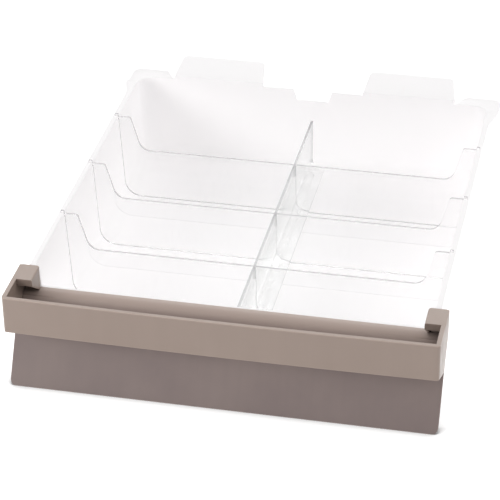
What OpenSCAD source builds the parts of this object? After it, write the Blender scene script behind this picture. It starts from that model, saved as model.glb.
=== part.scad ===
// Lift-out divider drawer for a cash counter: a white moulded tray behind a sloped
// taupe front panel with a full-width pull, split into eight compartments by three
// clear cross dividers that straddle one clear long divider.
// X is the width, +Y runs to the back, +Z is up. The origin is the bottom centre.

/* [Front panel] */
// Width of the front panel and of the pull
front_w = 400; // [360:1:440]
// Lean of the panel's face from the vertical, in degrees
panel_lean = 30.2; // [28:0.1:31]
// Wall thickness of the panel
panel_t = 3; // [2.5:0.1:3.5]
// Distance of the panel's toe behind the face of the pull
toe_y = 5.4; // [5:0.1:6.5]
// Height of the rolled shoulder's crest
crest_z = 77; // [76:0.1:78]
// Outer radius of the rolled shoulder
roll_r = 10; // [9:0.1:12]

/* [Pull] */
// Height of the pull's top edge above the base
pull_top_z = 100; // [99:0.1:103]
// Height of the pull's front plate
plate_h = 37; // [33:0.1:40]
// Thickness of the front plate
plate_t = 3; // [2.5:0.1:3.5]
// Forward bow of the plate at its middle
plate_bow = 2.2; // [0:0.1:4]
// Depth from the face of the plate to the back of the hoods
pull_depth = 59; // [58.5:0.1:59.4]
// Thickness of the end cheeks
cheek_t = 4; // [3.5:0.1:4.5]
// Width of a hood, with its cheek
hood_w = 18.8; // [17:0.1:20]
// Depth of a hood from front to back
hood_depth = 25.5; // [22:0.5:27]

/* [Tray] */
// Width between the side walls at the rim
tray_in_w = 374; // [350:1:374]
// Height of the side rims
rim_z = 98; // [97:0.1:98.5]
// Height of the rear wall and its lip
rear_z = 94; // [91:0.1:95]
// Height of the front wall, behind the rolled shoulder
front_z = 76; // [71:0.1:76]
// Inside face of the rear wall, behind the face of the pull
in_rear_y = 458.6; // [440:0.1:470]
// Wall thickness
wall_t = 2.5; // [2:0.1:2.5]
// Floor thickness
floor_t = 3.2; // [2.5:0.1:4]
// Draft of the walls, in degrees
draft = 3; // [2:0.1:3.5]
// Inside radius between the walls and the floor
bottom_r = 18; // [14:0.5:20]
// Depth of the side skirts below the rim
skirt_h = 32; // [20:1:36]

/* [Rear tabs] */
// Length of a tab along its slope
tab_len = 32; // [20:1:36]
// Upward slope of the tabs, in degrees
tab_tilt = 18; // [10:1:25]

/* [Dividers] */
// Thickness of every divider
divider_t = 2.4; // [2:0.1:2.6]
// Distance between neighbouring cross dividers
divider_pitch = 100; // [95:0.5:102]
// Distance of the first cross divider behind the face of the pull
first_divider_y = 159.5; // [150:0.5:162]
// Height of the dividers' top edges between the ears
divider_top_z = 59.4; // [52:0.1:63]
// Height of the ears
ear_z = 97.2; // [96:0.1:97.5]
// Distance that the dividers are drawn up out of the tray, for looking at the joints
lift = 0; // [0:5:110]

/* [Hidden] */
$fn = 64;
half_w = front_w / 2;
plate_z = pull_top_z - plate_h;

// Front panel
lean_tan = tan(panel_lean);
panel_back_y = 59.6;
flange_drop = 14;
toe_corner_r = 5.5;
panel_edge_r = 0.8;
rib_t = 2.4;
rib_low_z = 8;
rib_knee_z = 38;
boss_r = 4.5;
boss_z = 51;
boss_xs = [-150, -60, 60, 150];
pilot_r = 1.5;
pilot_depth = 14;

// Pull
cheek_foot = [37, 47];
cheek_shoulder = [58, 76.5];
plate_corner_r = 3;
pull_edge_r = 0.6;
foot_corner_r = 2;
shoulder_corner_r = 4;
hood_corner_r = 3;
hood_edge_r = 1.6;
hood_t = 2.4;
hood_front_y = pull_depth - hood_depth;
hood_foot_z = crest_z + 0.15;
hood_front_foot_z = pull_top_z - 6.8;
hood_heel = 5;
bow_steps = 12;
leg_x = [half_w - 15.5, half_w - 5.5];
leg_t = 1.4;
leg_root_z = crest_z + 8;
leg_z = crest_z - 12;
barb_z = crest_z - 3.8;
barb_reach = 1.8;
slot_gap = 0.2;
leg_y = panel_back_y - panel_t - slot_gap - leg_t;
fit_gap = 0.2;
seat_gap = 0.02;

// Screws
screw_r = 1.45;
screw_hole_r = 1.9;
screw_head_r = 3.5;
screw_head_h = 2.2;
recess_r = 1.3;
recess_depth = 1.3;

// Tray
in_front_y = 61.4;
flange_w = 5.5;
flange_t = 2.5;
skirt_t = 2;
flare_lip = 6.5;
flare_skirt = 3;
flare_r = 25;
rim_edge_r = 2;
skirt_end_r = 10;
skirt_over = 6;
flare_start_y = in_rear_y - 50;
flare_end_y = in_rear_y - 20;
step_y = in_rear_y - 18;
step_run = 7;
lip_depth = 17.5;
lip_end_x = 153;
lip_r = 9;
rear_corner_r = 14;
front_corner_r = 6;
post_x = half_w - hood_w + 0.8;
notch_depth = 11.7;
notch_half_w = 17;
notch_top_half_w = 20.5;
notch_r = 1.5;
outer_w = tray_in_w / 2 + flange_w;

// Rear tabs
tab_t = 2;
tab_in_x = 54;
tab_out_x = 150;
tab_taper = 3.5;
tab_r = 5;
tab_riser = 4;
tab_tip_y = in_rear_y + tab_len * cos(tab_tilt) + tab_t * sin(tab_tilt);

// Dividers
play = 0.4;
top_play = 0.3;
ear_corner = [173.7, ear_z];
dip_corner = [163, divider_top_z];
ear_r = 3;
dip_r = 13;
nib = [5, 5.6];
nib_out_x = outer_w - skirt_t - 0.1;
nib_r = 0.8;
nib_top_z = ear_z + 2.8;
foot_half_w = 14.9;
foot_t = 1.6;
cove_r = 12;
lap_z = divider_top_z - 14;
divider_ys = [for (i = [0:2]) first_divider_y + i * divider_pitch];

front_y = -plate_bow;
depth = tab_tip_y - front_y;

// ---- outlines ----

function unit(v) = v / norm(v);

// Points of the arc of radius r that rounds the corner b between a and c
function corner_arc(a, b, c, r, steps = 8) =
    let (to_a = unit(a - b),
         to_c = unit(c - b),
         half = acos(to_a * to_c) / 2,
         centre = b + unit(to_a + to_c) * r / sin(half),
         start = b + to_a * r / tan(half) - centre,
         end = b + to_c * r / tan(half) - centre,
         from = atan2(start.y, start.x),
         turn = (atan2(end.y, end.x) - from + 540) % 360 - 180)
    [for (i = [0:steps]) centre + r * [cos(from + turn * i / steps), sin(from + turn * i / steps)]];

// A closed outline with each corner rounded by its own radius
function rounded(points, radii) =
    let (n = len(points))
    [for (i = [0:n - 1])
        each radii[i] <= 0 ? [points[i]]
            : corner_arc(points[(i + n - 1) % n], points[i], points[(i + 1) % n], radii[i])];

// An outline drawn in Y and Z, extruded along X from x0 to x1
module along_x(x0, x1) {
    translate([x0, 0, 0])
        rotate([90, 0, 90])
            linear_extrude(x1 - x0)
                children();
}

// An outline drawn in X and Z, extruded along Y from y0 to y1
module along_y(y0, y1) {
    translate([0, y1, 0])
        rotate([90, 0, 0])
            linear_extrude(y1 - y0)
                children();
}

// From the face of the pull to the part's own origin
module placed() {
    translate([0, -front_y - depth / 2, 0])
        children();
}

module both_sides() {
    children();
    mirror([1, 0, 0])
        children();
}

// ---- front panel ----

function face_y(z) = toe_y + z * lean_tan;
function back_y(z) = face_y(z) + panel_t / cos(panel_lean);

// Section of the panel: sloped sheet, rolled shoulder and rear flange
module panel_section() {
    inner_z = crest_z - panel_t;
    flange_y = panel_back_y - panel_t;
    polygon(rounded(
        [[face_y(0), 0], [face_y(crest_z), crest_z], [panel_back_y, crest_z],
         [panel_back_y, crest_z - flange_drop], [flange_y, crest_z - flange_drop],
         [flange_y, inner_z], [back_y(inner_z), inner_z], [back_y(0), 0]],
        [0, roll_r, panel_edge_r, 0, 0, 0, roll_r - panel_t, 0]));
}

// Front view of the panel: rounded toe corners, and narrower between the cheeks
module panel_outline() {
    upper_w = half_w - cheek_t - fit_gap;
    polygon(rounded(
        [[-half_w, 0], [half_w, 0], [half_w, cheek_foot.y - fit_gap],
         [upper_w, cheek_foot.y - fit_gap], [upper_w, crest_z + 1],
         [-upper_w, crest_z + 1], [-upper_w, cheek_foot.y - fit_gap],
         [-half_w, cheek_foot.y - fit_gap]],
        [toe_corner_r, toe_corner_r, 0, 0, 0, 0, 0, 0]));
}

// Stiffening rib between the sheet and the tray's front wall
module panel_rib(x) {
    rib_top_z = crest_z - panel_t / 2;
    along_x(x - rib_t / 2, x + rib_t / 2)
        polygon([[back_y(rib_low_z) - 1, rib_low_z], [back_y(rib_low_z) + 1, rib_low_z],
                 [panel_back_y, rib_knee_z],
                 [panel_back_y, rib_top_z], [back_y(rib_top_z) - 1, rib_top_z]]);
}

module front_panel() {
    boss_end_y = tray_front_y(boss_z + boss_r) - seat_gap;
    color([0.56, 0.52, 0.50])
    placed()
    difference() {
        union() {
            intersection() {
                along_x(-half_w, half_w) panel_section();
                along_y(0, panel_back_y + 1) panel_outline();
            }
            for (x = boss_xs) {
                panel_rib(x);
                translate([x, back_y(boss_z) - 1, boss_z])
                    rotate([-90, 0, 0])
                        cylinder(r = boss_r, h = boss_end_y - back_y(boss_z) + 1);
            }
        }
        for (x = boss_xs)
            translate([x, boss_end_y - pilot_depth, boss_z])
                rotate([-90, 0, 0])
                    cylinder(r = pilot_r, h = pilot_depth + 1);
        // Slots in the shoulder for the pull's snap legs
        both_sides()
            translate([leg_x[0] - slot_gap, leg_y - slot_gap, barb_z])
                cube([leg_x[1] - leg_x[0] + 2 * slot_gap, leg_t + 2 * slot_gap, crest_z - barb_z + 1]);
    }
}

// ---- pull ----

// Points across the bowed plate at the distance y behind its face, out to half width w
function bowed(w, y) =
    [for (i = [-bow_steps:bow_steps]) [w * i / bow_steps, y - plate_bow * (1 - pow(i / bow_steps, 2))]];

// Plan of the bowed plate and the two cheeks
module pull_plan() {
    inner_w = half_w - cheek_t;
    intersection() {
        difference() {
            polygon(concat(bowed(half_w, 0), [[half_w, pull_depth], [-half_w, pull_depth]]));
            polygon(concat(bowed(inner_w, plate_t), [[inner_w, pull_depth + 1], [-inner_w, pull_depth + 1]]));
        }
        // Rounds the two front corners
        polygon(rounded(
            [[-half_w, 0], [-half_w / 2, front_y - 1], [half_w / 2, front_y - 1], [half_w, 0],
             [half_w, pull_depth], [-half_w, pull_depth]],
            [plate_corner_r, 0, 0, plate_corner_r, pull_edge_r, pull_edge_r]));
    }
}

// Side view of the plate and a cheek, which tapers down to the sloped panel
module cheek_side() {
    ahead_y = front_y - 1;
    polygon(rounded(
        [[ahead_y, plate_z], [plate_t, plate_z], cheek_foot, cheek_shoulder,
         [pull_depth, pull_top_z], [ahead_y, pull_top_z]],
        [0, 0, foot_corner_r, shoulder_corner_r, pull_edge_r, 0]));
}

// Half of a hood's outline seen from the front, with a soft inner top edge
module hood_front() {
    polygon(rounded(
        [[half_w - hood_w, hood_foot_z], [half_w - cheek_t / 2, hood_foot_z],
         [half_w - cheek_t / 2, pull_top_z], [half_w - hood_w, pull_top_z]],
        [0, 0, 0, hood_edge_r]));
}

// Leg that snaps down through the shoulder, with a barb under it
module snap_leg() {
    root_y = leg_y + leg_t + slot_gap + 1;
    along_x(leg_x[0], leg_x[1])
        polygon([[leg_y, leg_z], [leg_y + leg_t, leg_z], [leg_y + leg_t, hood_foot_z],
                 [root_y, hood_foot_z], [root_y, leg_root_z], [leg_y, leg_root_z],
                 [leg_y, barb_z], [leg_y - barb_reach, barb_z]]);
}

// Hollow hood that caps the end of the rolled shoulder, open underneath
module hood() {
    inner_x = half_w - hood_w;
    cheek_x = half_w - cheek_t / 2;
    difference() {
        intersection() {
            linear_extrude(pull_top_z)
                polygon(rounded(
                    [[inner_x, hood_front_y], [cheek_x, hood_front_y],
                     [cheek_x, pull_depth], [inner_x, pull_depth]],
                    [0, 0, 0, hood_corner_r]));
            along_x(inner_x, cheek_x)
                polygon([[hood_front_y, hood_front_foot_z], [pull_depth - hood_heel, hood_foot_z],
                         [pull_depth, hood_foot_z], [pull_depth, pull_top_z],
                         [hood_front_y, pull_top_z]]);
            along_y(hood_front_y, pull_depth) hood_front();
        }
        translate([inner_x + hood_t, hood_front_y + hood_t, 0])
            cube([half_w - cheek_t - inner_x - hood_t, hood_depth - 2 * hood_t, pull_top_z - hood_t]);
    }
    snap_leg();
}

module pull_rail() {
    color([0.62, 0.57, 0.53])
    placed() {
        intersection() {
            linear_extrude(pull_top_z) pull_plan();
            along_x(-half_w, half_w) cheek_side();
        }
        both_sides() hood();
    }
}

// ---- tray ----

// Half width and ends of the cavity at height z, drawn in by the gap c
function bin_x(z, c) = tray_in_w / 2 - (rim_z - z) * tan(draft) - c / cos(draft);
function bin_front_y(z, c) = in_front_y + (rim_z - z) * tan(draft) + c / cos(draft);
function bin_rear_y(z, c) = in_rear_y - (rim_z - z) * tan(draft) - c / cos(draft);
function tray_front_y(z) = bin_front_y(z, -wall_t);

// Lowest level of the bin's outside (c below 0), of its cavity or of what fits inside it
function bin_low_z(c) = c < 0 ? 0 : floor_t + c;

module bin_across(c, top_z) {
    low_z = bin_low_z(c);
    polygon(rounded(
        [[-bin_x(low_z, c), low_z], [bin_x(low_z, c), low_z],
         [bin_x(top_z, c), top_z], [-bin_x(top_z, c), top_z]],
        [bottom_r - c, bottom_r - c, 0, 0]));
}

module bin_along(c, top_z) {
    low_z = bin_low_z(c);
    polygon(rounded(
        [[bin_front_y(low_z, c), low_z], [bin_rear_y(low_z, c), low_z],
         [bin_rear_y(top_z, c), top_z], [bin_front_y(top_z, c), top_z]],
        [bottom_r - c, bottom_r - c, 0, 0]));
}

module bin_plan(c, top_z) {
    x = bin_x(top_z, c);
    polygon(rounded(
        [[-x, bin_front_y(top_z, c)], [x, bin_front_y(top_z, c)],
         [x, bin_rear_y(top_z, c)], [-x, bin_rear_y(top_z, c)]],
        [front_corner_r - c, front_corner_r - c, rear_corner_r - c, rear_corner_r - c]));
}

// Drafted bin with rounded bottom edges and corners. The gap c is 0 for the cavity,
// negative for the outside and positive for what fits inside it.
module bin(c, top_z) {
    intersection() {
        along_y(in_front_y - 10, in_rear_y + 10) bin_across(c, top_z);
        along_x(-half_w, half_w) bin_along(c, top_z);
        linear_extrude(top_z) bin_plan(c, top_z);
    }
}

// Outer edge of one side: straight, then flared outwards ahead of the rear corner
module side_plan(inner_x, flare, end_y, end_r) {
    polygon(rounded(
        [[inner_x, in_front_y + 1], [outer_w, in_front_y + 1], [outer_w, flare_start_y],
         [outer_w + flare, flare_end_y], [outer_w + flare, end_y], [inner_x, end_y]],
        [0, 0, flare_r, flare_r, end_r, 0]));
}

// Side view of a rim of thickness t, which steps down to the rear lip
module rim_side(t, end_y, end_r) {
    polygon(rounded(
        [[in_front_y + 1, rim_z - t], [step_y, rim_z - t], [step_y + step_run, rear_z - t],
         [end_y, rear_z - t], [end_y, rear_z], [step_y + step_run, rear_z],
         [step_y, rim_z], [in_front_y + 1, rim_z]],
        [end_r, 0, 0, end_r, 0, rim_edge_r, rim_edge_r, 0]));
}

module flange() {
    lip_y = in_rear_y + lip_depth;
    intersection() {
        linear_extrude(rim_z) {
            side_plan(tray_in_w / 2 - 1, flare_lip, lip_y, lip_r);
            translate([lip_end_x, in_rear_y - skirt_over])
                square([outer_w - lip_end_x, lip_depth + skirt_over]);
        }
        along_x(0, half_w) rim_side(flange_t, lip_y + 1, 0);
    }
}

module skirt() {
    end_y = in_rear_y + skirt_over;
    intersection() {
        linear_extrude(rim_z)
            difference() {
                side_plan(tray_in_w / 2 - 1, flare_skirt, end_y, 0);
                translate([-skirt_t, -1])
                    side_plan(0, flare_skirt, end_y + 10, 0);
            }
        along_x(0, half_w) rim_side(skirt_h, end_y, skirt_end_r);
    }
}

// Springy stop tab that slopes up behind the rear wall
module tab() {
    riser_z = rear_z - tab_riser;
    translate([tab_in_x, in_rear_y, riser_z])
        cube([tab_out_x - tab_in_x, wall_t, rim_z - riser_z]);
    translate([0, in_rear_y, rim_z])
        rotate([tab_tilt, 0, 0])
            translate([0, 0, -tab_t])
                linear_extrude(tab_t)
                    polygon(rounded(
                        [[tab_in_x, 0], [tab_out_x, 0], [tab_out_x - tab_taper, tab_len],
                         [tab_in_x + tab_taper, tab_len]],
                        [0, 0, tab_r, tab_r]));
}

module tray() {
    above = 20;
    color([0.96, 0.95, 0.96])
    placed()
    difference() {
        union() {
            bin(-wall_t, rim_z);
            both_sides() {
                flange();
                skirt();
            }
            both_sides() tab();
        }
        bin(0, rim_z + above);
        // The front wall is lower between the posts behind the hoods
        translate([-post_x, in_front_y - 10, front_z])
            cube([2 * post_x, 10 + front_corner_r, above * 2]);
        // The rear wall is lower than the side rims, except at the tabs
        difference() {
            translate([-outer_w, step_y + step_run, rear_z])
                cube([2 * outer_w, rear_corner_r + lip_depth, above]);
            both_sides()
                translate([tab_in_x, step_y, rear_z - 1])
                    cube([tab_out_x - tab_in_x, rear_corner_r + 2 * lip_depth, above + 2]);
        }
        // Centre notch in the rear wall
        along_y(in_rear_y - 10, in_rear_y + 10)
            polygon(rounded(
                [[-notch_half_w, rear_z - notch_depth], [notch_half_w, rear_z - notch_depth],
                 [notch_top_half_w, rear_z + 1], [-notch_top_half_w, rear_z + 1]],
                [notch_r, notch_r, 0, 0]));
        // Slots that hold the nibs of the cross dividers
        both_sides()
            for (y = divider_ys)
                translate([bin_x(ear_z, 0) - 1, y - divider_t / 2 - top_play, nib_top_z - nib.y - play])
                    cube([nib_out_x + play - bin_x(ear_z, 0) + 1, divider_t + 2 * top_play, above]);
        for (x = boss_xs)
            translate([x, in_front_y - 10, boss_z])
                rotate([-90, 0, 0])
                    cylinder(r = screw_hole_r, h = 20);
    }
}

// ---- dividers ----

// Section of the long divider: a thin web on two coved feet, grown by the gap c
module long_section(c) {
    web = divider_t / 2;
    cove_z = bin_low_z(play) + foot_t + cove_r;
    translate([-web - c, 0])
        square([divider_t + 2 * c, divider_top_z + c]);
    translate([-foot_half_w - c, 0])
        square([2 * (foot_half_w + c), cove_z - cove_r + c]);
    difference() {
        translate([-web - cove_r, 0])
            square([divider_t + 2 * cove_r, cove_z]);
        for (side = [-1, 1])
            translate([side * (web + cove_r), cove_z])
                circle(r = cove_r - c);
    }
}

// Right half of a cross divider's outline, from the middle of its foot outwards
function cross_half() =
    let (low_z = bin_low_z(play),
         nib_low_z = nib_top_z - nib.y,
         nib_in_x = nib_out_x - nib.x + 1.5)
    [[bin_x(low_z, play), low_z, bottom_r - play],
     [bin_x(nib_low_z, play), nib_low_z, 0],
     [nib_out_x, nib_low_z, nib_r],
     [nib_out_x, nib_top_z, nib_r],
     [nib_in_x, nib_top_z, nib_r],
     [nib_in_x, ear_z, 0],
     [ear_corner.x, ear_corner.y, ear_r],
     [dip_corner.x, dip_corner.y, dip_r]];

module cross_outline() {
    right = cross_half();
    left = [for (i = [len(right) - 1:-1:0]) [-right[i].x, right[i].y, right[i].z]];
    points = concat(right, left);
    difference() {
        polygon(rounded([for (p = points) [p.x, p.y]], [for (p = points) p.z]));
        intersection() {
            long_section(top_play);
            translate([-foot_half_w - 2, 0])
                square([2 * foot_half_w + 4, lap_z + top_play]);
        }
    }
}

module cross_divider(i) {
    color([0.80, 0.84, 0.86, 0.45])
    placed()
    translate([0, 0, 2 * lift])
        along_y(divider_ys[i] - divider_t / 2, divider_ys[i] + divider_t / 2)
            cross_outline();
}

module cross_divider_front() {
    cross_divider(0);
}

module cross_divider_middle() {
    cross_divider(1);
}

module cross_divider_rear() {
    cross_divider(2);
}

module long_divider() {
    notch_w = divider_t + 2 * top_play;
    color([0.76, 0.83, 0.82, 0.45])
    placed()
    translate([0, 0, lift])
    difference() {
        intersection() {
            along_y(in_front_y, in_rear_y) long_section(0);
            bin(play, divider_top_z);
        }
        for (y = divider_ys)
            translate([-foot_half_w, y - notch_w / 2, lap_z])
                cube([2 * foot_half_w, notch_w, divider_top_z]);
    }
}

// ---- fasteners ----

// Pan-head self-tapping screws from inside the tray into the back of the front panel
module panel_screws() {
    head_y = bin_front_y(boss_z - screw_head_r, 0) + seat_gap;
    shank = head_y - tray_front_y(boss_z) + pilot_depth - 1;
    color("silver")
    placed()
    for (x = boss_xs)
        translate([x, head_y, boss_z])
            rotate([90, 0, 0])
                difference() {
                    union() {
                        translate([0, 0, -screw_head_h])
                            cylinder(r = screw_head_r, h = screw_head_h);
                        cylinder(r = screw_r, h = shank);
                    }
                    translate([0, 0, -screw_head_h - 1])
                        cylinder(r = recess_r, h = recess_depth + 1);
                }
}

pull_rail();
front_panel();
tray();
cross_divider_front();
cross_divider_middle();
cross_divider_rear();
long_divider();
panel_screws();
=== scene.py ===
from math import cos, pi, radians, sin, tan

import bmesh
import bpy
from mathutils import Matrix, Vector


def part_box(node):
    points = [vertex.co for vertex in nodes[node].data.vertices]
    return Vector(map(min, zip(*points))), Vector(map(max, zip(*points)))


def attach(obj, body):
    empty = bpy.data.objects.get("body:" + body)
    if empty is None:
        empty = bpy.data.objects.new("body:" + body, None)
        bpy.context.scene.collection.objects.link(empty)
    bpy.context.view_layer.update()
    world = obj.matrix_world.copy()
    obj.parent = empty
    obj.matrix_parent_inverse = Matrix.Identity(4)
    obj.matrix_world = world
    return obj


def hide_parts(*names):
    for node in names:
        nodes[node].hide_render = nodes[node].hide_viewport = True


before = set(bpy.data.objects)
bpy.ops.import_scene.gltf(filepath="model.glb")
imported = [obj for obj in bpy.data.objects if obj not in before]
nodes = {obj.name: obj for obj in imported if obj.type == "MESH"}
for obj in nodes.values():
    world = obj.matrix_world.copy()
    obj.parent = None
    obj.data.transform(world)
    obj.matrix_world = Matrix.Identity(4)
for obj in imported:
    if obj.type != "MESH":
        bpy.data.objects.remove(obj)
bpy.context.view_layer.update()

MM = 0.001

# Sizes in millimetres, measured from the face of the pull (y), the middle (x) and the base (z)
PLATE_BOW = 2.2
RIM_X = 187.0
FRONT_Y = 61.4
REAR_Y = 458.6
RIM_Z = 98.0
REAR_Z = 94.0
FRONT_Z = 76.0
WALL_T = 2.5
FLOOR_T = 3.2
DRAFT = radians(3)
BOTTOM_R = 18.0
FRONT_R = 6.0
REAR_R = 14.0
DEEP_R = 22.0
EDGE_R = 0.8
MIN_PLAN_R = 3.0
ARC_STEPS = 8
POST_X = 182.0
FLANGE_X = 192.5
FLANGE_T = 2.5
SKIRT_T = 2.0
SKIRT_H = 32.0
SKIRT_END_R = 0.7
FLARE_Y = (408.6, 438.6)
FLARE_FLANGE = 6.5
FLARE_SKIRT = 3.0
STEP_Y = (440.6, 447.6)
LIP_Y = 476.1
LIP_R = 9.0
LIP_X = 153.0
TAB_X = (54.0, 150.0)
TAB_LEN = 32.0
TAB_TILT = radians(18)
TAB_T = 2.0
TAB_TAPER = 3.5
TAB_R = 5.0
TAB_ROOT = 4.2
STEP_GAP = 0.15
NOTCH_X = (17.0, 20.5)
NOTCH_Z = 82.3
SLOT_X = (185.0, 190.8)
SLOT_Z = 94.0
SLOT_W = 3.0
DIVIDER_YS = (159.5, 259.5, 359.5)
SCREW_XS = (-150.0, -60.0, 60.0, 150.0)
SCREW_Z = 51.0
SCREW_Y = 63.0
SCREW_HOLE_R = 1.9
CORNER_RUN = 50.0
FEET_X = 14.2
# Heights over which the panel's crest and the pull's tops are painted paler, as a painted highlight
PANEL_SHEEN_Z = (67.0, 74.5)
PULL_SHEEN_Z = (98.5, 99.5)
WEB_Z = 45.0
COVE_FADE = 20.0

# Where the shade in front of the panel's toe ends, in the frame's metres
TOE_SHADE_Y = (-0.237, -0.225)

# The face of the pull at its ends, in the frame
Y_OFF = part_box("pull_rail")[0][1] / MM + PLATE_BOW


def place(x, y, z):
    """A point in millimetres, measured as above, in the frame's metres."""
    return Vector((x * MM, (y + Y_OFF) * MM, z * MM))


# ---- mesh helpers ----


def finish_mesh(obj):
    """Joins doubled points, turns all faces outwards and shades them smooth between hard edges."""
    bm = bmesh.new()
    bm.from_mesh(obj.data)
    bmesh.ops.remove_doubles(bm, verts=bm.verts, dist=0.00001)
    bmesh.ops.recalc_face_normals(bm, faces=bm.faces)
    bm.to_mesh(obj.data)
    bm.free()
    obj.data.shade_smooth()
    obj.data.set_sharp_from_angle(angle=radians(35))


def new_object(name, verts, faces):
    mesh = bpy.data.meshes.new(name)
    mesh.from_pydata([tuple(v) for v in verts], [], faces)
    obj = bpy.data.objects.new(name, mesh)
    bpy.context.scene.collection.objects.link(obj)
    return obj


def apply_modifiers(obj):
    bpy.context.view_layer.update()
    done = obj.evaluated_get(bpy.context.evaluated_depsgraph_get())
    mesh = bpy.data.meshes.new_from_object(done)
    obj.modifiers.clear()
    old = obj.data
    obj.data = mesh
    bpy.data.meshes.remove(old)


def cut_away(obj, build):
    """Cuts the solids that build(bm) adds out of obj."""
    mesh = bpy.data.meshes.new("cutter")
    bm = bmesh.new()
    build(bm)
    bmesh.ops.recalc_face_normals(bm, faces=bm.faces)
    bm.to_mesh(mesh)
    bm.free()
    cutter = bpy.data.objects.new("cutter", mesh)
    bpy.context.scene.collection.objects.link(cutter)
    mod = obj.modifiers.new("cut", "BOOLEAN")
    mod.operation = "DIFFERENCE"
    mod.solver = "EXACT"
    mod.object = cutter
    apply_modifiers(obj)
    bpy.data.objects.remove(cutter)


def add_box(bm, low, high):
    low, high = place(*low), place(*high)
    middle = (low + high) / 2
    size = high - low
    matrix = Matrix.Translation(middle) @ Matrix.Diagonal((*size, 1.0))
    bmesh.ops.create_cube(bm, size=1.0, matrix=matrix)


def ramp(value, low, high):
    """0 below low and 1 above high, with a smooth rise between them."""
    t = min(max((value - low) / (high - low), 0.0), 1.0)
    return t * t * (3 - 2 * t)


def mix(a, b, t):
    return a + (b - a) * t


# ---- tray: one moulding, lofted from columns that run from the floor over the rim to the base ----


def wall_inset(z, out=0.0):
    """How far the wall's face stands inside the rim line at height z, moved outwards by out."""
    return (RIM_Z - z) * tan(DRAFT) - out / cos(DRAFT)


def plan(part, u, inset, z, out):
    """A point of the bin's plan. part and u say where it is, and z sets the corners' radii."""
    zc = FLOOR_T + BOTTOM_R
    deep = min(max((RIM_Z - z) / (RIM_Z - zc), 0.0), 1.0)
    shrink = max(inset + out / cos(DRAFT) - wall_inset(zc), 0.0)
    front_r = max(mix(FRONT_R, DEEP_R, deep) - shrink, MIN_PLAN_R) + out
    rear_r = max(mix(REAR_R, DEEP_R, deep) - shrink, MIN_PLAN_R) + out
    x1 = RIM_X - inset
    y0 = FRONT_Y + inset
    y1 = REAR_Y - inset
    if part == "front":
        return u * (x1 - front_r), y0
    if part == "front_corner":
        return x1 - front_r + front_r * cos(u), y0 + front_r + front_r * sin(u)
    if part == "side":
        return x1, mix(y0 + front_r, y1 - rear_r, u)
    if part == "rear_corner":
        return x1 - rear_r + rear_r * cos(u), y1 - rear_r + rear_r * sin(u)
    return u * (x1 - rear_r), y1


def rim_height(part, x, y):
    """Height of the rim here: lower at the rear, and lowest in the notch at its middle."""
    if part == "front":
        return RIM_Z
    if part in ("front_corner", "side", "rear_corner"):
        return mix(RIM_Z, REAR_Z, ramp(y, *STEP_Y))
    if TAB_X[0] <= x <= TAB_X[1]:
        return RIM_Z
    return mix(NOTCH_Z, REAR_Z, min(max((x - NOTCH_X[0]) / (NOTCH_X[1] - NOTCH_X[0]), 0.0), 1.0))


def tab_reach(x):
    """Length of the tab's slope at x, and how far its tip is drawn in, for its rounded corners."""
    edge = min(x - TAB_X[0], TAB_X[1] - x)
    if edge >= TAB_R:
        return TAB_LEN
    return TAB_LEN - TAB_R + (TAB_R ** 2 - (TAB_R - edge) ** 2) ** 0.5


def flange(kind, wall_x, wall_y, zt, target):
    """Ten points from the top of the wall out over the flange and back under it."""
    if kind == "tab":
        middle = (TAB_X[0] + TAB_X[1]) / 2
        half = (TAB_X[1] - TAB_X[0]) / 2
        reach = tab_reach(wall_x)
        tip_x = middle + (wall_x - middle) * (half - TAB_TAPER) / half
        along = [reach - EDGE_R, reach - EDGE_R * 0.3, reach, reach, reach - 0.3]
        down = [0.0, EDGE_R * 0.3, EDGE_R, 1.5, TAB_T]
        along += [reach * 0.75, reach * 0.5, reach * 0.3, reach * 0.2, TAB_ROOT]
        down += [TAB_T] * 5
        return [
            (mix(wall_x, tip_x, a / TAB_LEN), REAR_Y + a * cos(TAB_TILT) + d * sin(TAB_TILT),
             zt + a * sin(TAB_TILT) - d * cos(TAB_TILT))
            for a, d in zip(along, down)
        ]
    if kind == "plain":
        out = Vector((target[0] - wall_x, target[1] - wall_y))
        out = out.normalized()
        across = [1.0, 0.24, 0.0] + [0.0] * 7
        down = [0.0, 0.24] + [EDGE_R + 0.3 * i for i in range(8)]
        return [(target[0] - out.x * a, target[1] - out.y * a, zt - d) for a, d in zip(across, down)]
    edge = Vector(target[:2])
    skirt = Vector(target[2:])
    wall = Vector((wall_x, wall_y))
    back = (wall - edge).normalized()
    if kind == "lip":
        steps = [EDGE_R, EDGE_R * 0.3, 0.0, 0.0, 0.5]
        down = [0.0, EDGE_R * 0.3, EDGE_R, 1.9, FLANGE_T]
        points = [(*(edge + back * a), zt - d) for a, d in zip(steps, down)]
        reach = (wall - edge).length - WALL_T
        points += [(*(edge + back * reach * t), zt - FLANGE_T) for t in (0.2, 0.4, 0.6, 0.8, 0.97)]
        return points
    foot = zt - SKIRT_H
    inside = skirt + Vector((-SKIRT_T, 0.0))
    return [
        (*(edge + back * EDGE_R), zt),
        (*(edge + back * EDGE_R * 0.3), zt - EDGE_R * 0.3),
        (*edge, zt - EDGE_R),
        (*edge, zt - FLANGE_T),
        (*skirt, zt - FLANGE_T - 0.6),
        (*skirt, foot + SKIRT_END_R),
        (*(skirt + Vector((-SKIRT_END_R, 0.0))), foot),
        (*inside, foot),
        (*inside, zt - FLANGE_T),
        (*(wall + (edge - wall).normalized() * (WALL_T + 0.3)), zt - FLANGE_T),
    ]


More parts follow.
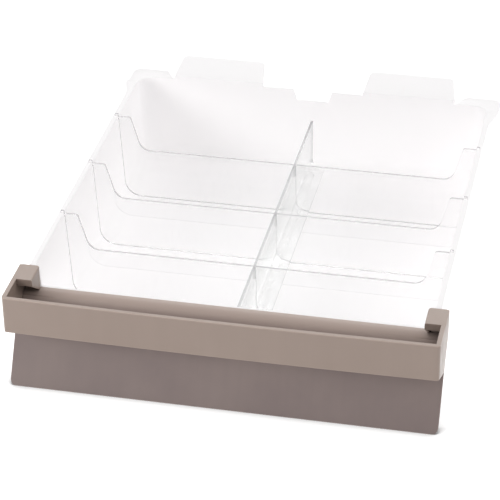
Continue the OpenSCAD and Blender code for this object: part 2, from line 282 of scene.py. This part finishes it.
def flange_edge(part, u, x, y):
    """Which kind of edge the wall has here, and where the edge's outline lies."""
    if part == "front" or (part == "front_corner" and u < radians(-48)):
        reach = WALL_T / cos(DRAFT)
        away = Vector((0.0, -1.0)) if part == "front" else Vector((cos(u), sin(u)))
        return "plain", (x + away.x * reach, y + away.y * reach)
    flare = ramp(y, *FLARE_Y)
    if part in ("front_corner", "side"):
        return "skirt", (FLANGE_X + FLARE_FLANGE * flare, y, FLANGE_X + FLARE_SKIRT * flare, y)
    edge_x = FLANGE_X + FLARE_FLANGE
    if part == "rear_corner":
        turn = u / radians(90)
        if turn <= 0.4:
            edge_y = REAR_Y - REAR_R + turn * CORNER_RUN
            return "skirt", (edge_x, edge_y, FLANGE_X + FLARE_SKIRT, edge_y)
        round_turn = radians(90) * min(max((turn - 0.5) / 0.4, 0.0), 1.0)
        if turn < 0.5:
            return "lip", (edge_x, REAR_Y - REAR_R + turn * CORNER_RUN, 0, 0)
        slide = 8.0 * max(turn - 0.9, 0.0) / 0.1
        return "lip", (
            edge_x - LIP_R + LIP_R * cos(round_turn) - slide, LIP_Y - LIP_R + LIP_R * sin(round_turn), 0, 0)
    if x >= LIP_X:
        return "lip", (x, LIP_Y, 0, 0)
    if TAB_X[0] <= x <= TAB_X[1]:
        return "tab", None
    return "plain", (x, y + WALL_T / cos(DRAFT))


def tray_column(part, u):
    """Points of one column, from the edge of the floor over the rim and down to the base."""
    x, y = plan(part, u, 0.0, RIM_Z, 0.0)
    zt = rim_height(part, x, y)
    points = []
    zc = FLOOR_T + BOTTOM_R
    oc = wall_inset(zc) + BOTTOM_R / cos(DRAFT)
    for i in range(ARC_STEPS + 1):
        phi = mix(pi / 2, DRAFT, i / ARC_STEPS)
        z = zc - BOTTOM_R * sin(phi)
        points.append((*plan(part, u, oc - BOTTOM_R * cos(phi), z, 0.0), z))
    low = points[-1][2]
    for t in (0.25, 0.5, 0.75, 1.0):
        z = mix(low, zt - EDGE_R, t)
        points.append((*plan(part, u, wall_inset(z), z, 0.0), z))
    for angle in (30, 60, 90):
        a = radians(angle)
        z = zt - EDGE_R + EDGE_R * sin(a)
        points.append((*plan(part, u, wall_inset(zt - EDGE_R) - EDGE_R * (1 - cos(a)), z, 0.0), z))
    wall_x, wall_y = plan(part, u, wall_inset(zt), zt, 0.0)
    kind, target = flange_edge(part, u, wall_x, wall_y)
    over = flange(kind, wall_x, wall_y, zt, target)
    points += over
    r = BOTTOM_R + WALL_T
    oc = wall_inset(r, WALL_T) + r / cos(DRAFT)
    top = min(over[-1][2] - 0.3, zt - FLANGE_T - 0.3)
    foot = r - r * sin(DRAFT)
    for t in (0.0, 0.3, 0.6):
        z = mix(top, foot, t)
        points.append((*plan(part, u, wall_inset(z, WALL_T), z, WALL_T), z))
    for i in range(ARC_STEPS + 1):
        phi = mix(DRAFT, pi / 2, i / ARC_STEPS)
        z = r - r * sin(phi)
        points.append((*plan(part, u, oc - r * cos(phi), max(z, 0.01), WALL_T), max(z, 0.0)))
    return points


def tray_stations():
    """Places of the right half's columns, from the front's middle round to the rear's middle.

    They stand closer together at the corners, the flare, the step and the ends of the tabs and notch.
    """
    front_end = RIM_X - FRONT_R
    rear_end = RIM_X - REAR_R
    side_low = FRONT_Y + FRONT_R
    side_high = REAR_Y - REAR_R
    tab_low, tab_high = TAB_X
    notch_low, notch_high = NOTCH_X
    # Distances in from a tab's side through its rounded corner
    corner = [0, 0.3, 0.8, 1.7, 3, TAB_R]
    fronts = [0, 45, 90, 135, 170, 179]
    sides = [side_low, 90, 120] + [155 + 35 * i for i in range(7)] + [395]
    sides += [403 + 4 * i for i in range(10)]
    rears = [173, 163, LIP_X, LIP_X - STEP_GAP]
    rears += [tab_high + STEP_GAP] + [tab_high - d for d in corner]
    rears += [130, 115, 102, 89, 74]
    rears += [tab_low + d for d in reversed(corner)] + [tab_low - STEP_GAP]
    rears += [45, 32, notch_high, notch_low + 0.6, notch_low, 8, 0]
    stations = [("front", x / front_end) for x in fronts]
    stations += [("front_corner", radians(a)) for a in (-90, -80, -79, -70, -60, -49, -47, -35, -24, -12)]
    stations += [("side", (y - side_low) / (side_high - side_low)) for y in sides]
    stations += [("rear_corner", radians(a)) for a in (0, 9, 18, 27, 36, 37, 45, 54, 63, 72, 81)]
    stations += [("rear", x / rear_end) for x in rears]
    return stations


def build_tray():
    """The whole moulding: the columns as a closed skin, with the slots and the screw holes cut out."""
    right = [tray_column(part, u) for part, u in tray_stations()]
    left = [[(-x, y, z) for x, y, z in column] for column in reversed(right[1:-1])]
    columns = right + left
    rows = len(columns[0])
    verts = [place(*p) for column in columns for p in column]
    faces = []
    for i in range(len(columns)):
        j = (i + 1) % len(columns)
        for k in range(rows - 1):
            faces.append((i * rows + k, j * rows + k, j * rows + k + 1, i * rows + k + 1))
    faces.append([i * rows for i in range(len(columns))])
    faces.append([i * rows + rows - 1 for i in range(len(columns))])
    tray = new_object("tray_moulding", verts, faces)
    finish_mesh(tray)

    def cutters(bm):
        add_box(bm, (-POST_X, FRONT_Y - 10, FRONT_Z), (POST_X, FRONT_Y + FRONT_R, RIM_Z + 5))
        for side in (-1, 1):
            for y in DIVIDER_YS:
                xs = sorted((side * SLOT_X[0], side * SLOT_X[1]))
                add_box(bm, (xs[0], y - SLOT_W / 2, SLOT_Z), (xs[1], y + SLOT_W / 2, RIM_Z + 5))
        for x in SCREW_XS:
            matrix = Matrix.Translation(place(x, SCREW_Y, SCREW_Z)) @ Matrix.Rotation(pi / 2, 4, "X")
            bmesh.ops.create_cone(
                bm, cap_ends=True, segments=24, radius1=SCREW_HOLE_R * MM, radius2=SCREW_HOLE_R * MM,
                depth=12 * MM, matrix=matrix)

    cut_away(tray, cutters)
    finish_mesh(tray)
    return tray


# ---- materials ----


class Shader:
    """A material's node tree, with short calls to add nodes and set or link their inputs."""

    def __init__(self, name):
        self.material = bpy.data.materials.new(name)
        self.material.use_nodes = True
        self.tree = self.material.node_tree
        self.tree.nodes.clear()
        self.output = self.tree.nodes.new("ShaderNodeOutputMaterial")

    def add(self, kind, settings=None, **inputs):
        node = self.tree.nodes.new("ShaderNode" + kind)
        for key, value in (settings or {}).items():
            setattr(node, key, value)
        for key, value in inputs.items():
            self.set(node, key.replace("_", " "), value)
        return node

    def set(self, node, key, value):
        socket = node.inputs[int(key)] if key.isdigit() else node.inputs[key]
        if isinstance(value, bpy.types.NodeSocket):
            self.tree.links.new(value, socket)
        else:
            socket.default_value = value

    def noise(self, scale, detail=3.0, stretch=(1, 1, 1)):
        coords = self.add("TexCoord")
        mapping = self.add("Mapping", Vector=coords.outputs["Object"], Scale=stretch)
        node = self.add("TexNoise", Vector=mapping.outputs[0], Scale=scale, Detail=detail)
        return node.outputs["Fac"]

    def remap(self, value, low, high, to_low, to_high):
        node = self.add("MapRange", Value=value)
        for key, number in zip(("From Min", "From Max", "To Min", "To Max"), (low, high, to_low, to_high)):
            node.inputs[key].default_value = number
        return node.outputs[0]

    def math(self, operation, a, b=0.0):
        node = self.add("Math", {"operation": operation})
        self.set(node, "0", a)
        self.set(node, "1", b)
        return node.outputs[0]

    def blend(self, factor, a, b):
        node = self.add("Mix", {"data_type": "RGBA"})
        self.set(node, "0", factor)
        self.set(node, "6", a)
        self.set(node, "7", b)
        return node.outputs[2]

    def mix_shaders(self, factor, a, b):
        node = self.add("MixShader")
        self.set(node, "0", factor)
        self.tree.links.new(a.outputs[0], node.inputs[1])
        self.tree.links.new(b.outputs[0], node.inputs[2])
        return node

    def add_shaders(self, a, b):
        node = self.add("AddShader")
        self.tree.links.new(a.outputs[0], node.inputs[0])
        self.tree.links.new(b.outputs[0], node.inputs[1])
        return node

    def position(self):
        """The point's X, Y and Z, in the frame's metres."""
        return self.add("SeparateXYZ", Vector=self.add("TexCoord").outputs["Object"]).outputs

    def open_sky(self, distance):
        """1 in the open, towards 0 where surfaces stand close around."""
        return self.add("AmbientOcclusion", {"samples": 8}, Distance=distance).outputs["AO"]

    def bump(self, height, strength, distance):
        node = self.add("Bump", Height=height, Strength=strength, Distance=distance)
        return node.outputs[0]

    def edge_sheen_and_wear(self, radius):
        """0 on flat faces, towards 1 on their outer edges."""
        bevel = self.add("Bevel", {"samples": 4}, Radius=radius)
        normal = self.add("NewGeometry").outputs["Normal"]
        dot = self.add("VectorMath", {"operation": "DOT_PRODUCT"})
        self.tree.links.new(bevel.outputs[0], dot.inputs[0])
        self.tree.links.new(normal, dot.inputs[1])
        return self.remap(dot.outputs["Value"], 0.995, 0.85, 0.0, 1.0)

    def sheet_edge(self, thin_axis, above):
        """1 on the narrow edges of a sheet, thin along one axis, that end it or lie above a height.

        The outer edges of its feet get a half.
        """
        parts = self.add("SeparateXYZ", Vector=self.add("NewGeometry").outputs["True Normal"])
        narrow = self.math("LESS_THAN", self.math("ABSOLUTE", parts.outputs[thin_axis]), 0.4)
        ending = self.math("GREATER_THAN", self.math("ABSOLUTE", parts.outputs["Y"]), 0.8)
        position = self.position()
        high = self.math("GREATER_THAN", position["Z"], above * MM)
        outside = self.math("GREATER_THAN", self.math("ABSOLUTE", position["X"]), FEET_X * MM)
        upright = self.math("GREATER_THAN", self.math("ABSOLUTE", parts.outputs["X"]), 0.8)
        foot = self.math("MULTIPLY", self.math("MULTIPLY", outside, upright), 0.5)
        rim = self.math("MULTIPLY", narrow, self.math("MAXIMUM", high, ending))
        return self.math("MAXIMUM", rim, foot)

    def finish(self, shader):
        self.tree.links.new(shader.outputs[0], self.output.inputs["Surface"])
        return self.material


def moulded_taupe(name, colour, pale, streaks, smooth, top_sheen, sheen_heights):
    """Satin moulded plastic with a fine grain, faint flow marks, and a painted highlight on its outer edges
    that also stands for light wear.

    It gets paler as a painted highlight, by the share top_sheen, from the lower to the upper of two
    heights, and darker in its crevices as painted shade.
    """
    s = Shader(name)
    # Painted highlight: the colour gets paler towards the top, where the light falls
    top = s.remap(s.position()["Z"], sheen_heights[0] * MM, sheen_heights[1] * MM, 0.0, top_sheen)
    cloud = s.remap(s.noise(14, 4), 0.35, 0.65, 0.0, 1.0)
    streak = s.remap(s.noise(9, 3, (9.0, 1.0, 0.35)), 0.35, 0.65, 0.0, 1.0)
    grain = s.noise(2600, 2)
    base = s.blend(s.math("MULTIPLY", cloud, 0.25), (*colour, 1), (*pale, 1))
    base = s.blend(s.math("MULTIPLY", streak, streaks), base, (*[c * 0.86 for c in colour], 1))
    # Colour of the painted highlights, which on the edges also stands for light wear
    sheen_and_wear = (*[min(c * 1.5, 1) for c in pale], 1)
    base = s.blend(top, base, sheen_and_wear)
    # Painted highlight on the rounded outer edges, which also stands for light wear
    base = s.blend(s.math("MULTIPLY", s.edge_sheen_and_wear(0.0009), 0.35), base, sheen_and_wear)
    # Painted shade: the colour darkens in crevices, where surfaces stand close
    painted_crevice_shade = s.remap(s.open_sky(0.04), 0.15, 0.75, 0.7, 0.0)
    base = s.blend(painted_crevice_shade, base, (*[c * 0.4 for c in colour], 1))
    rough = s.remap(s.noise(60, 4), 0.3, 0.7, smooth, smooth + 0.1)
    normal = s.bump(grain, 0.15, 0.00005)
    shader = s.add("BsdfPrincipled", Base_Color=base, Roughness=rough, Normal=normal)
    shader.inputs["Specular IOR Level"].default_value = 0.45
    return s.finish(shader)


def moulded_white(name):
    """White moulded plastic: faint cool tint, light scuffs on the floor and a soft sheen."""
    s = Shader(name)
    cloud = s.remap(s.noise(9, 4), 0.35, 0.65, 0.0, 1.0)
    base = s.blend(s.math("MULTIPLY", cloud, 0.5), (0.95, 0.935, 0.94, 1), (0.955, 0.945, 0.945, 1))
    scuff = s.noise(120, 6, (1.0, 0.12, 1.0))
    scuff = s.remap(scuff, 0.66, 0.74, 0.0, 1.0)
    base = s.blend(s.math("MULTIPLY", scuff, 0.10), base, (0.72, 0.71, 0.71, 1))
    rough = s.remap(s.noise(45, 4), 0.3, 0.7, 0.48, 0.6)
    normal = s.bump(s.noise(1800, 2), 0.12, 0.00006)
    shader = s.add("BsdfPrincipled", Base_Color=base, Roughness=rough, Normal=normal)
    shader.inputs["Specular IOR Level"].default_value = 0.3
    # Painted light: the white glows a little, and more inside the bin where surfaces stand close, to
    # lighten its shaded inside
    shader.inputs["Emission Color"].default_value = (1.0, 0.985, 0.99, 1.0)
    s.set(shader, "Emission Strength", s.remap(s.open_sky(0.12), 0.4, 0.95, 0.1, 0.055))
    return s.finish(shader)


def clear_plastic(name, tint, edge, thin_axis, above):
    """Clear moulded sheet: hazed by fine scuffs, with painted shade, a dull grey, on its narrow edges."""
    s = Shader(name)
    scuff = s.remap(s.noise(260, 6, (1.0, 1.0, 0.25)), 0.52, 0.75, 0.0, 1.0)
    rough = s.math("ADD", s.math("MULTIPLY", scuff, 0.08), 0.015)
    glass = s.add("BsdfPrincipled", Base_Color=(*tint, 1), Roughness=rough, IOR=1.5,
                  Normal=s.bump(s.noise(40, 3), 0.05, 0.0002))
    glass.inputs["Transmission Weight"].default_value = 1.0
    clear = s.add("BsdfTransparent", Color=(*tint, 1))
    milk = s.add("BsdfPrincipled", Base_Color=(0.95, 0.95, 0.95, 1), Roughness=0.5)
    painted_edge_shade = s.add("BsdfPrincipled", Base_Color=(*edge, 1), Roughness=0.35)
    sheet = s.mix_shaders(0.5, glass, clear)
    sheet = s.mix_shaders(s.remap(scuff, 0.0, 1.0, 0.045, 0.06), sheet, milk)
    # Painted light: the coves and feet glow a little, fading out up to the given height, to lighten them
    painted_foot_glow = s.remap(s.position()["Z"], (above - COVE_FADE) * MM, above * MM, 0.024, 0.0)
    sheet = s.add_shaders(sheet, s.add("Emission", Strength=painted_foot_glow))
    # Painted shade: the narrow edges are mixed towards the dull grey edge colour
    sheet = s.mix_shaders(s.math("MULTIPLY", s.sheet_edge(thin_axis, above), 0.6), sheet, painted_edge_shade)
    # Light passes straight through on its way to other surfaces
    path = s.add("LightPath")
    unseen = s.math("MAXIMUM", path.outputs["Is Shadow Ray"], path.outputs["Is Diffuse Ray"])
    return s.finish(s.mix_shaders(unseen, sheet, clear))


def zinc_steel(name):
    """Zinc-plated screw steel with a fine turned grain."""
    s = Shader(name)
    grain = s.noise(900, 4)
    base = s.blend(grain, (0.42, 0.42, 0.44, 1), (0.66, 0.66, 0.67, 1))
    rough = s.remap(s.noise(500, 3), 0.3, 0.7, 0.25, 0.45)
    shader = s.add("BsdfPrincipled", Base_Color=base, Roughness=rough, Metallic=1.0,
                   Normal=s.bump(grain, 0.2, 0.00003))
    return s.finish(shader)


def studio_floor(name):
    """Pale paper that glows a little, with a painted contact shadow close in front of the panel's toe:
    darker colour and less glow there.
    """
    s = Shader(name)
    cloud = s.noise(1.5, 2)
    # Painted contact shadow: less glow and a darker colour where surfaces stand close, mostly in front of
    # the panel's toe
    behind_toe = s.remap(s.position()["Y"], TOE_SHADE_Y[0], TOE_SHADE_Y[1], 0.0, 0.9)
    open_sky = s.math("MAXIMUM", s.open_sky(0.015), behind_toe)
    glow = s.remap(open_sky, 0.6, 0.95, 0.0, 0.5)
    base = s.blend(cloud, (0.88, 0.88, 0.88, 1), (0.9, 0.9, 0.9, 1))
    base = s.blend(s.remap(open_sky, 0.55, 0.9, 0.75, 0.0), base, (0.2, 0.19, 0.185, 1))
    shader = s.add("BsdfPrincipled", Base_Color=base, Roughness=0.7)
    shader.inputs["Emission Color"].default_value = (1.0, 1.0, 1.0, 1.0)
    s.set(shader, "Emission Strength", glow)
    return s.finish(shader)


def give(obj, material):
    """Makes this the only material of obj."""
    obj.data.materials.clear()
    obj.data.materials.append(material)


def soften(obj, width):
    """Rounds a CAD node's hard edges."""
    weld = obj.modifiers.new("weld", "WELD")
    weld.merge_threshold = 0.00001
    flat = obj.modifiers.new("flat", "DECIMATE")
    flat.decimate_type = "DISSOLVE"
    flat.angle_limit = radians(0.5)
    bevel = obj.modifiers.new("bevel", "BEVEL")
    bevel.width = width * MM
    bevel.segments = 2
    bevel.limit_method = "ANGLE"
    bevel.angle_limit = radians(38)
    bevel.harden_normals = True


# ---- the object ----

tray = build_tray()
give(tray, moulded_white("tray_white"))
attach(tray, "body")
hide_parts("tray")

give(nodes["pull_rail"], moulded_taupe(
    "pull_taupe", colour=(0.28, 0.216, 0.182), pale=(0.312, 0.245, 0.21), streaks=0.15, smooth=0.28,
    top_sheen=0.55, sheen_heights=PULL_SHEEN_Z))
# The panel's taupe is set darker than the pull's, as painted shade for its place under the overhanging pull
give(nodes["front_panel"], moulded_taupe(
    "panel_taupe", colour=(0.205, 0.158, 0.15), pale=(0.32, 0.255, 0.225), streaks=0.15, smooth=0.36,
    top_sheen=1.0, sheen_heights=PANEL_SHEEN_Z))
clear_cross = clear_plastic(
    "clear_cross_divider", tint=(1.0, 1.0, 1.0), edge=(0.43, 0.42, 0.43), thin_axis="Y", above=0.0)
for name in ("cross_divider_front", "cross_divider_middle", "cross_divider_rear"):
    give(nodes[name], clear_cross)
give(nodes["long_divider"], clear_plastic(
    "clear_long_divider", tint=(0.997, 1.0, 0.999), edge=(0.42, 0.42, 0.43), thin_axis="X", above=WEB_Z))
give(nodes["panel_screws"], zinc_steel("screw_steel"))
for name in ("pull_rail", "front_panel"):
    soften(nodes[name], 0.4)

# ---- studio ----


def add_floor():
    mesh = bpy.data.meshes.new("floor")
    size = 12.0
    corners = [(-size, -size, 0), (size, -size, 0), (size, size, 0), (-size, size, 0)]
    mesh.from_pydata(corners, [], [(0, 1, 2, 3)])
    floor = bpy.data.objects.new("floor", mesh)
    bpy.context.scene.collection.objects.link(floor)
    give(floor, studio_floor("studio_floor"))


def add_softbox(name, position, size, watts):
    """A rectangular lamp at a position in metres, turned towards the object."""
    target = (0.0, 0.0, 0.05)
    lamp = bpy.data.lights.new(name, "AREA")
    lamp.shape = "RECTANGLE"
    lamp.size, lamp.size_y = size
    lamp.energy = watts
    obj = bpy.data.objects.new(name, lamp)
    obj.location = position
    obj.rotation_euler = (Vector(target) - Vector(position)).to_track_quat("-Z", "Y").to_euler()
    bpy.context.scene.collection.objects.link(obj)


def add_sky(strength):
    world = bpy.data.worlds.new("studio")
    world.use_nodes = True
    background = world.node_tree.nodes["Background"]
    background.inputs["Color"].default_value = (1.0, 1.0, 1.0, 1.0)
    background.inputs["Strength"].default_value = strength
    bpy.context.scene.world = world


def add_camera():
    """A long lens above and to the right of the front, tilted down and rolled a little."""
    pitch, yaw, roll = radians(31.84), radians(12.48), radians(0.71)
    back = Vector((sin(yaw) * cos(pitch), -cos(yaw) * cos(pitch), sin(pitch)))
    right = (-back).cross(Vector((0, 0, 1))).normalized()
    down = (-back).cross(right)
    across = cos(roll) * right + sin(roll) * down
    along = cos(roll) * down - sin(roll) * right
    camera = bpy.data.cameras.new("camera")
    camera.sensor_width = 36.0
    camera.lens = 157.64
    obj = bpy.data.objects.new("camera", camera)
    matrix = Matrix((across, -along, back)).transposed().to_4x4()
    matrix.translation = place(379.07, -1571.84, 1178.32)
    obj.matrix_world = matrix
    bpy.context.scene.collection.objects.link(obj)
    bpy.context.scene.camera = obj


add_floor()
add_sky(0.52)
add_softbox("above", (0.0, 0.3, 2.2), (1.2, 1.0), 5.0)
add_softbox("behind", (-0.3, 3.0, 2.2), (3.0, 1.8), 33.0)
add_softbox("front_fill", (-0.6, -4.0, 1.5), (3.0, 2.0), 8.0)
add_softbox("left_fill", (-1.2, -1.2, 0.8), (0.8, 0.6), 9.0)
add_softbox("right_fill", (2.6, 0.3, 1.3), (2.0, 1.0), 16.0)
add_camera()
bpy.context.scene.view_settings.view_transform = "Standard"
